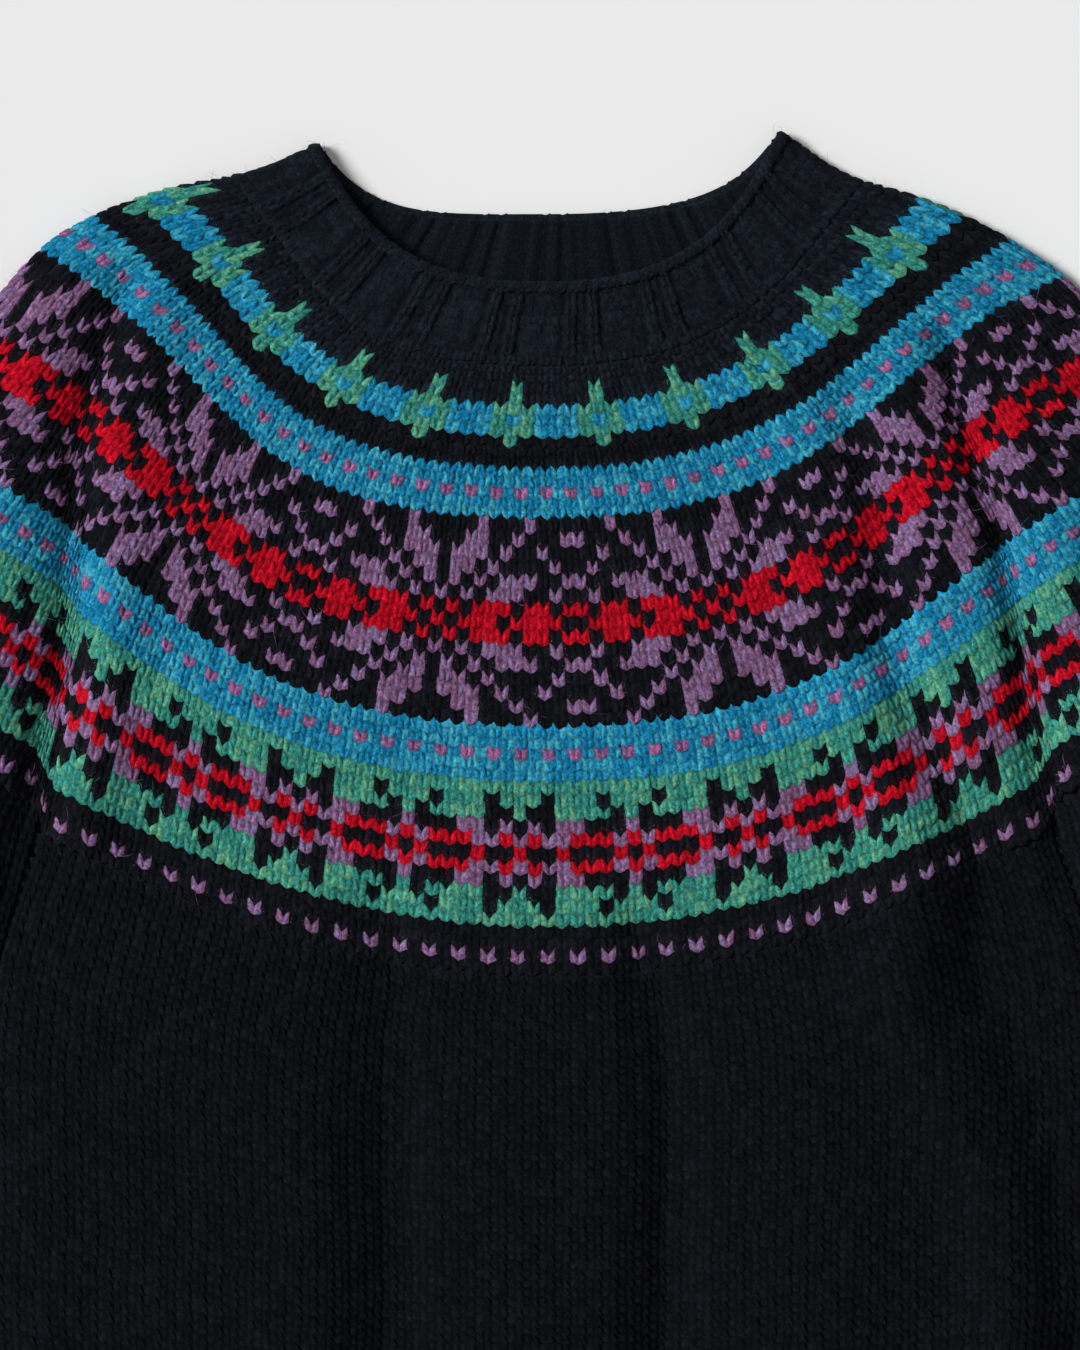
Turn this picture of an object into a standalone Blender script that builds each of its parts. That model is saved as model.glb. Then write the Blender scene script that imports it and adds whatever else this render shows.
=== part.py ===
"""Fair isle jumper, laid flat on its back with its front up.

The jumper is knitted in the round, so every piece is a tube pressed flat: a front layer over a back
layer, joined by a rounded fold at each side. A piece is lofted through rows. A row is one round of
the knitting, given in plan by a front curve and a back curve that share their two ends.

Sizes are in millimetres. x runs across from the centre line, and drop runs down the garment from
the highest point of the neckband. The finished pieces are centred on the origin and stand in
metres, with +Y towards the neck and +Z up out of the front.
"""

import bpy
import numpy as np

MM = 0.001

# Cloth
WALL = 3.0  # thickness of the knitted wool
FOLD_RADIUS = 1.8  # from the middle of a fold to the middle of the wall
SEAM_GAP = 0.3  # between two pieces where they are joined
EDGE_REACH = FOLD_RADIUS + WALL / 2  # from the middle of a fold to the garment's outline
FLAT_LIFT = 2 * FOLD_RADIUS  # from the back layer to the front layer beside a fold
PUFF = 3.2  # how much higher the front layer rides away from the folds
PUFF_RUN = 16.0  # how far from a fold the front layer takes to rise

# Neckband, hem band and cuffs, all in the same broad rib
RIB_GROOVE = 1.1  # depth of the purl groove between two flat ribs
RIB_STEPS = 6  # corners to each rib and its groove
NECK_RIBS = 17
HEM_RIBS = 21
CUFF_RIBS = 7
NECK_LIFT = 2.2  # how much the front of the neck stands up over the back
NECK_LIFT_DROP = 80.0
NECK_LIFT_RUN = 46.0
NECK_LIFT_HALF = 84.0

# Rounds of the neckband and yoke. drop: where the round crosses the centre front. rise: how much
# higher it crosses the centre back. For each side, flat is how far the round runs level from the
# centre, x and edge are where it meets the outline, and in and down lean its last stretch.
ROUND_COLUMNS = (
    "drop", "rise",
    "left_flat", "left_x", "left_edge", "left_in", "left_down",
    "right_flat", "right_x", "right_edge", "right_in", "right_down",
)
ROUNDS = {
    "neck edge": (65.0, 29.1, 52, -98.4, 4.7, 23, 45, 68, 100.5, 0.0, 17, 30),
    "neck seam": (94.8, 29.0, 92, -129.0, 17.0, 38, 45, 82, 129.8, 18.3, 30, 36),
    "upper band": (121.6, 27.0, 118, -166.4, 25.1, 51, 43, 92, 167.2, 30.2, 42, 42),
    "second band": (152.6, 24.0, 136, -204.6, 41.7, 85, 58, 127, 209.7, 53.1, 78, 37),
    "stars": (206.6, 17.0, 156, -248.0, 87.6, 108, 48, 146, 248.0, 92.6, 112, 44),
    "lower band": (263.5, 9.0, 172, -292.5, 137.5, 124, 35, 162, 292.5, 137.5, 138, 48),
    "yoke end": (357.4, 0.0, 176, -344.0, 215.0, 62, 16, 184, 344.0, 215.0, 82, 18),
}
YOKE_ROWS = 13
NECK_ROWS = 4
CURVE_STEPS = 160  # fine steps along half a round, from which its columns are spaced

# Body
UNDERARM_X = 214.2  # half of the chest at the underarms
UNDERARM_DROP = 284.8
BODY_ROWS = 9
BODY_STEPS = 24  # columns across one layer, as many as the yoke has over it
# The body's outline, as (drop, half width)
SIDES = (
    (UNDERARM_DROP, UNDERARM_X),
    (300.0, 216.6),
    (320.0, 224.0),
    (342.6, 231.0),
    (368.0, 234.6),
    (440.0, 235.4),
    (522.0, 234.0),
    (545.0, 229.0),
    (584.0, 230.0),
)
COLUMNS_EVENED = 1.6  # how soon down the body its columns stand evenly spaced
HEM_SEAM_SIDE = 522.0
HEM_SIDE = 584.0
HEM_DIP = 14.0  # how much lower the hem hangs at the centre
HEM_ROWS = 4

# Sleeves
SLEEVE_ANGLE = 17.0  # degrees that a sleeve stands off the body's centre line
SLEEVE_LENGTH = 430.0  # underarm to cuff end, along the inner edge
CUFF_LENGTH = 60.0
ARM_CLEARANCE = 0.2  # half the gap between a sleeve and the body at the underarm
SLEEVE_ROWS = 10
SLEEVE_STEPS = 8  # columns across one layer, as many as the yoke has over it
CUFF_ROWS = 3
TURN_RUN = 120.0  # how far down the sleeve its rounds take to come square to it
# The sleeve pressed flat, as (how far down the inner edge, width)
SLEEVE_WIDTHS = (
    (60.0, 151.0),
    (150.0, 139.0),
    (250.0, 124.0),
    (370.0, 104.0),
    (385.0, 97.0),
    (430.0, 95.0),
)

FOLD_STEPS = 4  # corners round one folded edge

# Creases of the front layer, as (height, width, share at the start, points). The height is up, or
# down where it is negative, and grows along the points from its share at the start to its whole.
# The width is from the middle of the crease to where it has faded. The points are (x, drop).
CREASES = {
    "left armpit": (
        -3.2, 10.0, 0.35,
        ((-178, 64), (-196, 119), (-200, 177), (-203, 219), (-213, 260), (-214, 285)),
    ),
    "left armpit ridge": (1.3, 13.0, 0.4, ((-196, 70), (-216, 122), (-222, 178), (-226, 222))),
    "right armpit": (
        -2.8, 9.0, 0.4,
        ((127, 113), (142, 160), (136, 173), (144, 221), (150, 249), (172, 283), (182, 326), (176, 368)),
    ),
    "right armpit end": (-3.2, 10.0, 0.0, ((203, 236), (210, 262), (214, 285))),
    "right arm ridge": (1.5, 14.0, 1.0, ((186, 166), (197, 194), (204, 226))),
    "left of centre": (-1.3, 20.0, 0.5, ((-82, 335), (-84, 420), (-83, 515))),
    "right of centre": (-1.1, 18.0, 0.5, ((42, 350), (44, 430), (40, 520))),
    "right side": (-1.6, 16.0, 1.0, ((176, 368), (182, 430), (184, 500))),
    "left sleeve": (-1.4, 13.0, 0.3, ((-322, 250), (-312, 330), (-340, 420), (-372, 520))),
    "right sleeve": (-1.2, 14.0, 0.3, ((312, 252), (330, 340), (322, 430), (362, 540))),
}

NAVY = (0.013, 0.015, 0.024)
RIB_NAVY = (0.011, 0.013, 0.021)


def clear_scene():
    for found in list(bpy.context.scene.objects):
        bpy.data.objects.remove(found, do_unlink=True)


def knit_material(name, colour):
    made = bpy.data.materials.new(name)
    made.use_nodes = True
    shader = made.node_tree.nodes["Principled BSDF"]
    shader.inputs["Base Color"].default_value = (*colour, 1.0)
    shader.inputs["Roughness"].default_value = 0.95
    shader.inputs["Metallic"].default_value = 0.0
    return made


def smooth_columns(keys, values, at):
    """Values between table rows, on cubics whose slopes come from the rows on either side."""
    keys = np.asarray(keys, float)
    values = np.asarray(values, float)
    at = np.clip(at, keys[0], keys[-1])
    slopes = np.gradient(values, keys, axis=0)
    upper = np.clip(np.searchsorted(keys, at), 1, len(keys) - 1)
    step = keys[upper] - keys[upper - 1]
    part = (at - keys[upper - 1]) / step
    left = 1 - part
    start = left**2 * ((1 + 2 * part) * values[upper - 1] + part * step * slopes[upper - 1])
    end = part**2 * ((1 + 2 * left) * values[upper] - left * step * slopes[upper])
    return start + end


def round_at(drop):
    """The sizes of the round that crosses the centre front at this drop, by column name."""
    table = np.array(list(ROUNDS.values()))
    row = smooth_columns(table[:, 0], table, drop)
    return dict(zip(ROUND_COLUMNS, row))


def half_curve(sizes, side, rise, steps):
    """Half of a round in plan, from the centre to its outline on one side, as a cubic curve."""
    sign = -1.0 if side == "left" else 1.0
    centre = np.array([0.0, sizes["drop"] - rise])
    end = np.array([sizes[side + "_x"], sizes[side + "_edge"]])
    lean = np.sqrt((centre[1] - end[1]) / (sizes["drop"] - end[1]))
    level = centre + [sign * sizes[side + "_flat"], 0.0]
    last = end + [-sign * sizes[side + "_in"], sizes[side + "_down"] * lean]
    out = (end - last) / np.hypot(*(end - last))
    end = end - EDGE_REACH * out
    t = np.linspace(0, 1, steps)[:, None]
    left = 1 - t
    return left**3 * centre + 3 * left**2 * t * level + 3 * left * t**2 * last + t**3 * end


def at_shares(curve, shares):
    """The points that lie these shares of the way along a curve."""
    length = np.append(0, np.cumsum(np.hypot(*np.diff(curve, axis=0).T)))
    at = np.asarray(shares) * length[-1]
    return np.stack([np.interp(at, length, curve[:, 0]), np.interp(at, length, curve[:, 1])], axis=1)


def yoke_round(drop, layer, shares):
    """One layer of a round of the yoke in plan, at these shares of the way from its left fold."""
    sizes = round_at(drop)
    rise = sizes["rise"] if layer == "back" else 0.0
    left = half_curve(sizes, "left", rise, CURVE_STEPS)
    right = half_curve(sizes, "right", rise, CURVE_STEPS)
    return at_shares(np.concatenate([left[::-1], right[1:]]), shares)


def yoke_shares():
    """Where the yoke's columns lie along a round: some over each sleeve, the rest over the body."""
    shares = np.linspace(0, 1, CURVE_STEPS)
    curve = yoke_round(ROUNDS["yoke end"][0], "front", shares)
    underarms = np.interp([-UNDERARM_X, UNDERARM_X], curve[:, 0], shares)
    columns = [0, SLEEVE_STEPS, SLEEVE_STEPS + BODY_STEPS, 2 * SLEEVE_STEPS + BODY_STEPS]
    return np.interp(np.arange(columns[-1] + 1), columns, [0, *underarms, 1])


def yoke_end_stretch(first, last):
    """The yoke's last round between two of its columns, trimmed where it turns in at an underarm."""
    shares = yoke_shares()
    curve = yoke_round(ROUNDS["yoke end"][0], "front", shares)[first : last + 1]
    for end, beside, is_fold in ((0, 1, first == 0), (-1, -2, last == len(shares) - 1)):
        inward = curve[beside] - curve[end]
        trim = 0.0 if is_fold else EDGE_REACH + ARM_CLEARANCE
        curve[end] = curve[end] + trim * inward / np.hypot(*inward)
    return curve


def near_line(points, line):
    """How far each point is from a bent line, and how far along the line that is, from 0 to 1."""
    line = np.asarray(line, float)
    runs = np.hypot(*np.diff(line, axis=0).T)
    starts = np.append(0, np.cumsum(runs))
    nearest = np.full(len(points), np.inf)
    along = np.zeros(len(points))
    for start, end, run, before in zip(line[:-1], line[1:], runs, starts):
        part = np.clip((points - start) @ (end - start) / run**2, 0, 1)
        away = np.hypot(*(points - start - part[:, None] * (end - start)).T)
        closer = away < nearest
        nearest[closer] = away[closer]
        along[closer] = (before + part[closer] * run) / starts[-1]
    return nearest, along


def front_lift(plan):
    """How far the front layer lies above the back layer along one row, middle to middle."""
    length = np.append(0, np.cumsum(np.hypot(*np.diff(plan, axis=0).T)))
    edge = np.minimum(length, length[-1] - length)
    free = 1 - np.exp(-edge / PUFF_RUN)
    lift = PUFF * free
    for height, width, start_share, points in CREASES.values():
        away, along = near_line(plan, points)
        share = start_share + (1 - start_share) * along
        lift += height * share * np.exp(-((away / width) ** 2)) * free
    neck = np.exp(-(((plan[:, 1] - NECK_LIFT_DROP) / NECK_LIFT_RUN) ** 2))
    neck *= np.exp(-((plan[:, 0] / NECK_LIFT_HALF) ** 4))
    lift += NECK_LIFT * neck * free
    return FLAT_LIFT + np.maximum(lift, 0)


def row_section(front, back, groove):
    """The outer and inner wall points round one flattened row, and the groove cut in the outer ones.

    The order runs across the front from left to right, round the right fold, back across the back
    layer and round the left fold. groove gives each point's depth from its share of the way round.
    """
    half = WALL / 2
    lift = front_lift(front)
    turn = np.linspace(np.pi / 2, -np.pi / 2, FOLD_STEPS + 1)[1:-1]
    middles, normals = [], []

    def fold(end, out, angles):
        for angle in angles:
            normal = np.array([*(out * np.cos(angle)), np.sin(angle)])
            middles.append(np.array([*end, half + FOLD_RADIUS]) + FOLD_RADIUS * normal)
            normals.append(normal)

    def layer(plan, heights, up):
        for point, height in zip(plan, heights):
            middles.append(np.array([*point, height]))
            normals.append(np.array([0.0, 0.0, up]))

    outs = []
    for end, front_next, back_next in ((0, 1, 1), (-1, -2, -2)):
        out = 2 * front[end] - front[front_next] - back[back_next]
        outs.append(out / np.hypot(*out))
    layer(front, half + lift, 1.0)
    fold(front[-1], outs[1], turn)
    layer(back[::-1], np.full(len(back), half), -1.0)
    fold(front[0], outs[0], turn[::-1])
    middles, normals = np.array(middles), np.array(normals)
    steps = np.hypot(*np.diff(np.vstack([middles, middles[:1]]), axis=0).T[:2])
    share = np.append(0, np.cumsum(steps))[:-1] / steps.sum()
    depth = groove(share) * (normals[:, 2] > -0.99)
    outer = middles + normals * (half - depth)[:, None]
    inner = middles - normals * half
    return outer, inner


def plain(share):
    return np.zeros(len(share))


def ribbed(ribs):
    """Groove depth round a row with this many ribs."""
    return lambda share: RIB_GROOVE * np.clip(np.cos(2 * np.pi * ribs * share) * 2 - 1, 0, 1)


def tube(name, rows, material, groove=plain):
    """One piece: a wall lofted through its (front, back) rows, with both of its ends closed."""
    outer, inner = [], []
    for front, back in rows:
        out_row, in_row = row_section(front, back, groove)
        outer.append(out_row)
        inner.append(in_row)
    points = np.concatenate([np.concatenate(outer), np.concatenate(inner)])
    around, deep = len(outer[0]), len(rows)
    inside = around * deep
    row, column = np.meshgrid(np.arange(deep - 1), np.arange(around), indexing="ij")
    a = (row * around + column).ravel()
    b = (row * around + (column + 1) % around).ravel()
    faces = [np.stack([a, b, b + around, a + around], axis=1)]
    faces.append(np.stack([a + around, b + around, b, a], axis=1) + inside)
    c = np.arange(around)
    d = (c + 1) % around
    last = (deep - 1) * around
    faces.append(np.stack([d, c, c + inside, d + inside], axis=1))
    faces.append(np.stack([c, d, d + inside, c + inside], axis=1) + last)
    return {"name": name, "points": points, "faces": np.concatenate(faces), "material": material}


def yoke_rows(start, end, rows, shares):
    """Rounds between two drops at the centre front, as (front, back) curves that share their ends."""
    made = []
    for drop in np.linspace(start, end, rows):
        front = yoke_round(drop, "front", shares)
        back = yoke_round(drop, "back", shares)
        ends = (front[[0, -1]] + back[[0, -1]]) / 2
        front[[0, -1]] = ends
        back[[0, -1]] = ends
        made.append((front, back))
    return made


def layer_steps(ribs):
    """Columns across one layer of a ribbed piece, so that its ribs go evenly round."""
    return (ribs * RIB_STEPS - 2 * (FOLD_STEPS - 1)) // 2


def neckband(material):
    start = ROUNDS["neck edge"][0]
    end = ROUNDS["neck seam"][0] - SEAM_GAP / 2
    shares = np.linspace(0, 1, layer_steps(NECK_RIBS) + 1)
    return tube("neckband", yoke_rows(start, end, NECK_ROWS, shares), material, ribbed(NECK_RIBS))


def yoke(material):
    start = ROUNDS["neck seam"][0] + SEAM_GAP / 2
    end = ROUNDS["yoke end"][0] - SEAM_GAP / 2
    return tube("yoke", yoke_rows(start, end, YOKE_ROWS, yoke_shares()), material)


def body_row(share, steps):
    """A round of the body, from the yoke's end at 0 to the hem band at 1 and the hem's edge beyond."""
    top = yoke_end_stretch(SLEEVE_STEPS, SLEEVE_STEPS + BODY_STEPS)
    if steps != BODY_STEPS:
        top = at_shares(top, np.linspace(0, 1, steps + 1))
    side = HEM_SEAM_SIDE * share + UNDERARM_DROP * (1 - share)
    half_width = smooth_columns([row[0] for row in SIDES], [row[1] for row in SIDES], side)
    evened = min(share * COLUMNS_EVENED, 1.0)
    top_across = top[:, 0] / np.abs(top[[0, -1], 0]).mean()
    across = (1 - evened) * top_across + evened * np.linspace(-1, 1, steps + 1)
    kept = max(1 - share, 0.0)
    hem = HEM_SEAM_SIDE + HEM_DIP * np.cos(across * np.pi / 2)
    drop = kept * (top[:, 1] + SEAM_GAP / 2) + (1 - kept) * hem
    drop = drop + max(share - 1, 0.0) * (HEM_SEAM_SIDE - UNDERARM_DROP)
    middle = kept * (top[0, 0] + top[-1, 0]) / 2
    return np.stack([middle + across * (half_width - ARM_CLEARANCE - EDGE_REACH), drop], axis=1)


def body_rows(start, end, rows, steps):
    curves = [body_row(share, steps) for share in np.linspace(start, end, rows)]
    return [(curve, curve.copy()) for curve in curves]


def body(material):
    clear = SEAM_GAP / (HEM_SEAM_SIDE - UNDERARM_DROP)
    return tube("body", body_rows(0.0, 1.0 - clear, BODY_ROWS, BODY_STEPS), material)


def hem_band(material):
    end = (HEM_SIDE - UNDERARM_DROP) / (HEM_SEAM_SIDE - UNDERARM_DROP)
    rows = body_rows(1.0, end, HEM_ROWS, layer_steps(HEM_RIBS))
    return tube("hem_band", rows, material, ribbed(HEM_RIBS))


def sleeve_top(side, steps):
    """The first round of a sleeve in plan, from the underarm out to the outer fold."""
    columns = 2 * SLEEVE_STEPS + BODY_STEPS
    if side == "left":
        top = yoke_end_stretch(0, SLEEVE_STEPS)[::-1]
    else:
        top = yoke_end_stretch(columns - SLEEVE_STEPS, columns)
    if steps != SLEEVE_STEPS:
        top = at_shares(top, np.linspace(0, 1, steps + 1))
    return top + [0.0, SEAM_GAP / 2]


def sleeve_row(side, run, steps):
    """A round of a sleeve in plan, this far down its inner edge, from its left to its right fold."""
    sign = -1.0 if side == "left" else 1.0
    top = sleeve_top(side, steps)
    reach = top - top[0]
    top_width = np.hypot(*reach[-1])
    across_top = reach[-1] / top_width
    bow = sign * reach @ np.array([-across_top[1], across_top[0]])
    tilt = np.radians(SLEEVE_ANGLE)
    top_tilt = np.arctan2(-across_top[1], abs(across_top[0]))
    turned = 1 - np.exp(-3 * (run / TURN_RUN) ** 2)
    angle = (1 - turned) * top_tilt + turned * tilt
    out = np.array([sign * np.cos(angle), -np.sin(angle)])
    out_down = np.array([sign * np.sin(angle), np.cos(angle)])
    down = np.array([sign * np.sin(tilt), np.cos(tilt)])
    runs = [0.0] + [row[0] for row in SLEEVE_WIDTHS]
    widths = [top_width] + [row[1] - 2 * EDGE_REACH for row in SLEEVE_WIDTHS]
    width = smooth_columns(runs, widths, run)
    fade = np.exp(-run / TURN_RUN)
    along = fade * (reach @ across_top) / top_width + (1 - fade) * np.linspace(0, 1, steps + 1)
    curve = top[0] + run * down + np.outer(along * width, out) + np.outer(bow * fade, out_down)
    return curve if side == "right" else curve[::-1]


def sleeve_rows(side, start, end, rows, steps):
    curves = [sleeve_row(side, run, steps) for run in np.linspace(start, end, rows)]
    return [(curve, curve.copy()) for curve in curves]


def sleeve(side, material):
    end = SLEEVE_LENGTH - CUFF_LENGTH - SEAM_GAP
    return tube("sleeve_" + side, sleeve_rows(side, 0.0, end, SLEEVE_ROWS, SLEEVE_STEPS), material)


def cuff(side, material):
    start = SLEEVE_LENGTH - CUFF_LENGTH
    rows = sleeve_rows(side, start, SLEEVE_LENGTH, CUFF_ROWS, layer_steps(CUFF_RIBS))
    return tube("cuff_" + side, rows, material, ribbed(CUFF_RIBS))


def add_object(piece, middle, collection):
    """The finished piece in metres, with drop towards -Y, which also turns its faces over."""
    points = (piece["points"] - middle) * [MM, -MM, MM]
    faces = piece["faces"][:, ::-1]
    mesh = bpy.data.meshes.new(piece["name"])
    mesh.from_pydata(points.tolist(), [], faces.tolist())
    mesh.materials.append(piece["material"])
    mesh.validate()
    made = bpy.data.objects.new(piece["name"], mesh)
    collection.objects.link(made)
    return made


def main():
    clear_scene()
    collection = bpy.data.collections.new("fair isle jumper")
    bpy.context.scene.collection.children.link(collection)
    knit = knit_material("navy wool", NAVY)
    rib = knit_material("navy wool rib", RIB_NAVY)
    pieces = [neckband(rib), yoke(knit), body(knit), hem_band(rib)]
    for side in ("left", "right"):
        pieces += [sleeve(side, knit), cuff(side, rib)]
    everything = np.concatenate([piece["points"] for piece in pieces])
    middle = (everything.min(axis=0) + everything.max(axis=0)) / 2
    middle[2] = everything[:, 2].min()
    for piece in pieces:
        add_object(piece, middle, collection)


main()
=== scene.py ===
"""Looks of the fair isle jumper: every piece of knitting is dressed stitch by stitch."""

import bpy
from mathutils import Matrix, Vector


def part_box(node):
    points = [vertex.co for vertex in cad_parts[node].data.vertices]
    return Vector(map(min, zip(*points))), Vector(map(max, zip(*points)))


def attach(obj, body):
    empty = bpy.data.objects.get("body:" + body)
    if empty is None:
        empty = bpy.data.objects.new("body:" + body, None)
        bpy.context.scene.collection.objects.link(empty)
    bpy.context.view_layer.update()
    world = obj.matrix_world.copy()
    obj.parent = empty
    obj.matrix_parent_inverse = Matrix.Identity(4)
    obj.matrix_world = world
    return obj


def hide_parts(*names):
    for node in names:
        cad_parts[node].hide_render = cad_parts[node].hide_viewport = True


bl_info = {
    "name": "Fair isle jumper",
    "version": (1, 0, 0),
    "blender": (4, 5, 0),
    "location": "3D View > Sidebar > Jumper",
    "description": "Knits the jumper's neckband, yoke, body, sleeves and ribs, and sets up its stage",
    "category": "Object",
}

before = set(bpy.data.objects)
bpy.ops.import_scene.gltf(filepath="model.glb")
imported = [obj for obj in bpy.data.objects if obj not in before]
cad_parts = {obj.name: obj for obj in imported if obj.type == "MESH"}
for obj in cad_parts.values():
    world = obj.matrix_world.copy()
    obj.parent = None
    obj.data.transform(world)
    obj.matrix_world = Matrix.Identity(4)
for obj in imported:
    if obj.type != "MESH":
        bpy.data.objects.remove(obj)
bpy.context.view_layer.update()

import bpy
import numpy as np
from bpy.props import FloatProperty, FloatVectorProperty, IntProperty, PointerProperty
from mathutils import Vector

MM = 0.001

# Cloth, in millimetres. x runs across from the centre line, and drop runs down the garment from the
# highest point of the neckband.
WALL = 3.0  # thickness of the knitted wool
FOLD_RADIUS = 1.8  # from the middle of a fold to the middle of the wall
SEAM_GAP = 0.3
EDGE_REACH = FOLD_RADIUS + WALL / 2
FLAT_LIFT = 2 * FOLD_RADIUS
PUFF = 3.2
PUFF_RUN = 16.0
HIGHEST = 13.5
NECK_LIFT = 2.2
NECK_LIFT_DROP = 80.0
NECK_LIFT_RUN = 46.0
NECK_LIFT_HALF = 84.0

# Rounds of the neckband and yoke: where each crosses the centre front, how much higher it crosses
# the centre back, and for each side how far it runs level, where it meets the outline and how it
# leans there.
ROUND_COLUMNS = (
    "drop", "rise",
    "left_flat", "left_x", "left_edge", "left_in", "left_down",
    "right_flat", "right_x", "right_edge", "right_in", "right_down",
)
ROUNDS = {
    "neck edge": (65.0, 29.1, 52, -98.4, 4.7, 23, 45, 68, 100.5, 0.0, 17, 30),
    "neck seam": (94.8, 29.0, 92, -129.0, 17.0, 38, 45, 82, 129.8, 18.3, 30, 36),
    "upper band": (121.6, 27.0, 118, -166.4, 25.1, 51, 43, 92, 167.2, 30.2, 42, 42),
    "second band": (152.6, 24.0, 136, -204.6, 41.7, 85, 58, 127, 209.7, 53.1, 78, 37),
    "stars": (206.6, 17.0, 156, -248.0, 87.6, 108, 48, 146, 248.0, 92.6, 112, 44),
    "lower band": (263.5, 9.0, 172, -292.5, 137.5, 124, 35, 162, 292.5, 137.5, 138, 48),
    "yoke end": (357.4, 0.0, 176, -344.0, 215.0, 62, 16, 184, 344.0, 215.0, 82, 18),
}
NECK_EDGE = ROUNDS["neck edge"][0]
YOKE_END = ROUNDS["yoke end"][0]
CURVE_STEPS = 160

UNDERARM_X = 214.2
UNDERARM_DROP = 284.8
SIDES = (
    (UNDERARM_DROP, UNDERARM_X),
    (300.0, 216.6),
    (320.0, 224.0),
    (342.6, 231.0),
    (368.0, 234.6),
    (440.0, 235.4),
    (522.0, 234.0),
    (545.0, 229.0),
    (584.0, 230.0),
)
COLUMNS_EVENED = 1.6
HEM_SEAM_SIDE = 522.0
HEM_SIDE = 584.0
HEM_DIP = 14.0

SLEEVE_ANGLE = 17.0
SLEEVE_LENGTH = 430.0
CUFF_LENGTH = 60.0
ARM_CLEARANCE = -1.8  # the wool of sleeve and body meets under the arm
TURN_RUN = 120.0
SLEEVE_WIDTHS = (
    (60.0, 151.0),
    (150.0, 139.0),
    (250.0, 124.0),
    (370.0, 104.0),
    (385.0, 97.0),
    (430.0, 95.0),
)
PLAIN_STEPS = 48  # steps across one layer of the body, and of a sleeve

# Where the front layer sinks into creases and swells beside them, as (height, width, share of the
# height at the start, points)
LEFT_ARMPIT = ((-178, 64), (-196, 119), (-200, 177), (-203, 219), (-213, 260), (-214, 285))
CREASES = {
    "left armpit": (-7.0, 8.0, 0.5, LEFT_ARMPIT),
    "beside left armpit": (
        5.0, 13.0, 0.5,
        ((-160, 60), (-177, 119), (-181, 177), (-185, 230), (-196, 290)),
    ),
    "over left arm": (
        9.0, 16.0, 0.5,
        ((-206, 50), (-225, 119), (-231, 177), (-236, 240), (-241, 285), (-252, 350)),
    ),
    "left arm edge": (-4.0, 9.0, 0.8, ((-214, 285), (-226, 330), (-240, 372))),
    "right armpit": (
        -7.0, 9.0, 0.35,
        ((127, 113), (142, 160), (140, 173), (148, 221), (158, 249), (180, 283), (190, 313), (195, 364)),
    ),
    "left of right armpit": (
        6.0, 14.0, 0.4,
        ((104, 118), (118, 160), (117, 177), (124, 221), (134, 255), (150, 290), (158, 313), (152, 364)),
    ),
    "right of right armpit": (
        3.4, 13.0, 0.5,
        ((150, 118), (162, 160), (164, 190), (172, 225), (184, 262)),
    ),
    "right shoulder": (
        -6.5, 7.0, 0.5,
        ((169, 88), (179, 128), (193, 173), (204, 230), (210, 262), (214, 285)),
    ),
    "left of right shoulder": (3.6, 10.0, 0.5, ((152, 88), (164, 128), (178, 173), (190, 225))),
    "over right arm": (
        5.0, 15.0, 0.6,
        ((194, 90), (204, 128), (216, 173), (228, 226), (240, 285), (250, 340)),
    ),
    "right side": (-9.0, 15.0, 1.0, ((197, 350), (217, 410), (231, 453), (236, 520), (236, 590))),
    "left of right side": (
        9.5, 17.0, 0.45,
        ((150, 310), (148, 364), (168, 400), (188, 444), (200, 512), (202, 590)),
    ),
    "left of centre": (-7.5, 12.0, 0.3, ((-66, 325), (-66, 400), (-65, 470), (-65, 590))),
    "beside left of centre": (5.0, 18.0, 0.2, ((-104, 325), (-104, 400), (-103, 470), (-103, 590))),
    "left half": (5.0, 44.0, 0.2, ((-128, 330), (-128, 420), (-128, 590))),
    "mid front": (6.0, 36.0, 0.2, ((-12, 330), (-10, 420), (-10, 590))),
    "right of centre": (-8.5, 9.5, 0.4, ((39, 338), (51, 388), (53, 438), (50, 515), (50, 590))),
    "beside right of centre": (3.0, 13.0, 0.3, ((13, 338), (24, 388), (26, 438), (23, 515), (23, 590))),
    "right front": (7.0, 46.0, 0.3, ((104, 330), (107, 400), (110, 470), (110, 590))),
    "left sleeve": (-1.4, 13.0, 0.3, ((-322, 250), (-312, 330), (-340, 420), (-372, 520))),
    "right sleeve": (-1.2, 14.0, 0.3, ((312, 252), (330, 340), (322, 430), (362, 540))),
}

# Where cloth is tucked out of sight in a crease, as (millimetres hidden, width, points)
TUCKS = {
    "left armpit": (11.0, 10.0, LEFT_ARMPIT),
    "right shoulder": (13.0, 12.0, ((174, 80), (184, 131), (196, 180), (204, 230), (214, 285))),
}

# How the rounds step where they cross the crease at an armpit, as (step, first drop, points)
ARM_STEPS = {
    "left": (16.0, 130.0, LEFT_ARMPIT),
    "right": (14.0, 195.0, ((198, 150), (203, 212), (212, 267), (214, 285))),
}
STEP_RUN = 45.0  # how far from the crease the step eases out
STEP_EDGE = 2.8
STEP_BELOW = 40.0  # and how far below the underarm

# The frame's place for the centre line and for drop 0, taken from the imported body
BODY_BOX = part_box("body")
BODY_SHORT = 0.23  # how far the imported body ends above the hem's seam
CENTRE_X = (BODY_BOX[0][0] + BODY_BOX[1][0]) / 2
TOP_Y = BODY_BOX[0][1] + (HEM_SEAM_SIDE + HEM_DIP - BODY_SHORT) * MM

# Yarns, by the letter that stands for each in a chart
YARNS = {"K": 0, "B": 1, "G": 2, "L": 3, "R": 4, "P": 5, "N": 6}

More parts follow.
